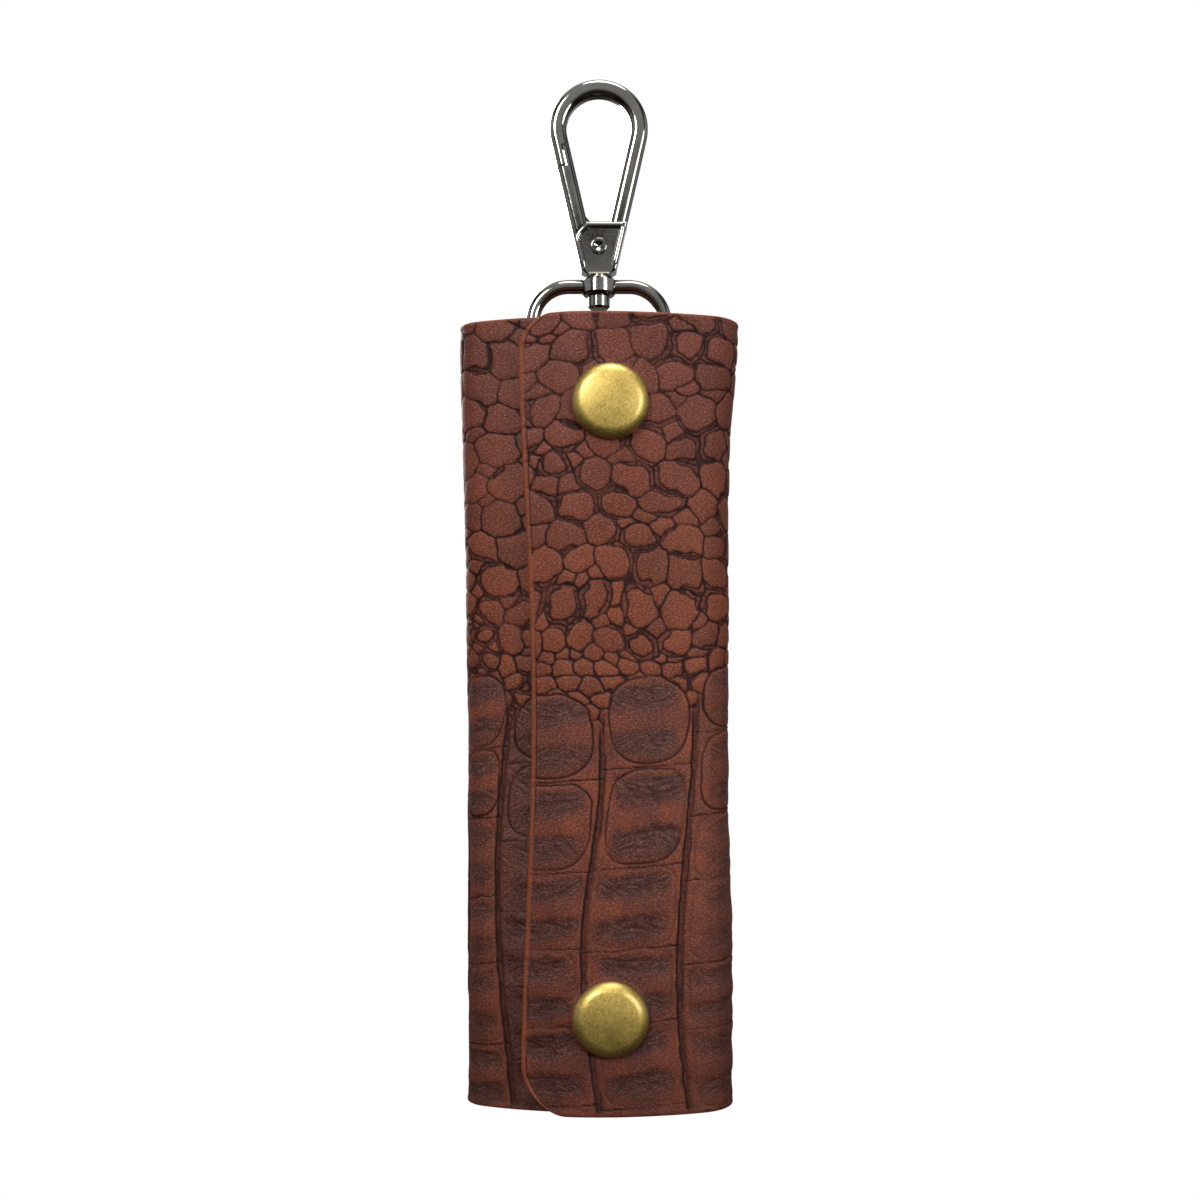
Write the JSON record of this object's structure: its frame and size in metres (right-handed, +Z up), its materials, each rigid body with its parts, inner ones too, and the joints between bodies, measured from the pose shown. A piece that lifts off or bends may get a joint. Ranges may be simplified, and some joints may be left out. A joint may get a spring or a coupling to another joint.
{
  "type": "key case",
  "caption": "Oval leather wrap key case with a snap-closed flap, hung from a swivel trigger hook, with an inner strap and split key ring.",
  "frame": {"origin": "centre of the hook bow's inner arc, in the hook's middle plane", "axes": "+Z up along the length towards the hook, +X to the right seen from the front, the front faces -Y"},
  "size_m": [0.0444, 0.0259, 0.1758],
  "materials": {
    "embossed_leather": "reptile scale emboss, semi-gloss, dark grooves",
    "plain_leather": "smooth, semi-matt",
    "gunmetal": "polished black nickel",
    "antique_brass": "satin, aged",
    "nickel": "polished nickel",
    "spring_steel": "bright drawn wire"
  },
  "bodies": {
    "hook": {"hook_frame": "gunmetal", "gate_pin": "gunmetal", "gate_spring": "spring_steel", "swivel_post": "gunmetal"},
    "gate": {"hook_gate": "gunmetal"},
    "loop": {"swivel_loop": "gunmetal"},
    "case": {"back_panel": "embossed_leather", "inner_strap": "plain_leather", "upper_rivet_post": "antique_brass", "upper_rivet_cap": "antique_brass", "lower_rivet_post": "antique_brass", "lower_rivet_cap": "antique_brass"},
    "flap": {"front_flap": "embossed_leather", "upper_snap_cap": "antique_brass", "upper_snap_socket": "antique_brass", "upper_socket_spring": "spring_steel", "lower_snap_cap": "antique_brass", "lower_snap_socket": "antique_brass", "lower_socket_spring": "spring_steel"},
    "under": {"under_panel": "embossed_leather", "upper_snap_stud": "antique_brass", "upper_stud_eyelet": "antique_brass", "lower_snap_stud": "antique_brass", "lower_stud_eyelet": "antique_brass"},
    "ring": {"key_ring": "nickel"}
  },
  "joints": [
    {"name": "gate_open", "type": "hinge", "parent": "hook", "child": "gate", "pos_m": [0, 0, -0.0205], "axis": [0, 1, 0], "range_deg": [0, 26], "stiffness_Nm_per_rad": 0.02, "springref_deg": -22.92, "deforming": ["gate_spring"]},
    {"name": "swivel_turn", "type": "hinge", "parent": "hook", "child": "loop", "pos_m": [0, 0, -0.0273], "axis": [0, 0, 1], "continuous": true},
    {"name": "case_swing", "type": "hinge", "parent": "loop", "child": "case", "pos_m": [0, 0, -0.0411], "axis": [-1, 0, 0], "range_deg": [-8, 45]},
    {"name": "flap_open", "type": "hinge", "parent": "case", "child": "flap", "pos_m": [0.01681, -0.01322, -0.1012], "axis": [0, 0, 1], "range_deg": [0, 165], "deforming": ["upper_socket_spring", "lower_socket_spring"]},
    {"name": "under_relax", "type": "hinge", "parent": "case", "child": "under", "pos_m": [-0.01925, -0.00863, -0.1012], "axis": [0, 0, -1], "range_deg": [0, 20]},
    {"name": "ring_swing", "type": "hinge", "parent": "case", "child": "ring", "pos_m": [0, -0.00135, -0.0665], "axis": [-1, 0, 0], "range_deg": [-3, 15]}
  ],
  "couplings": [
    {"joint": "under_relax", "follows": "flap_open", "ratio": 0.12}
  ]
}
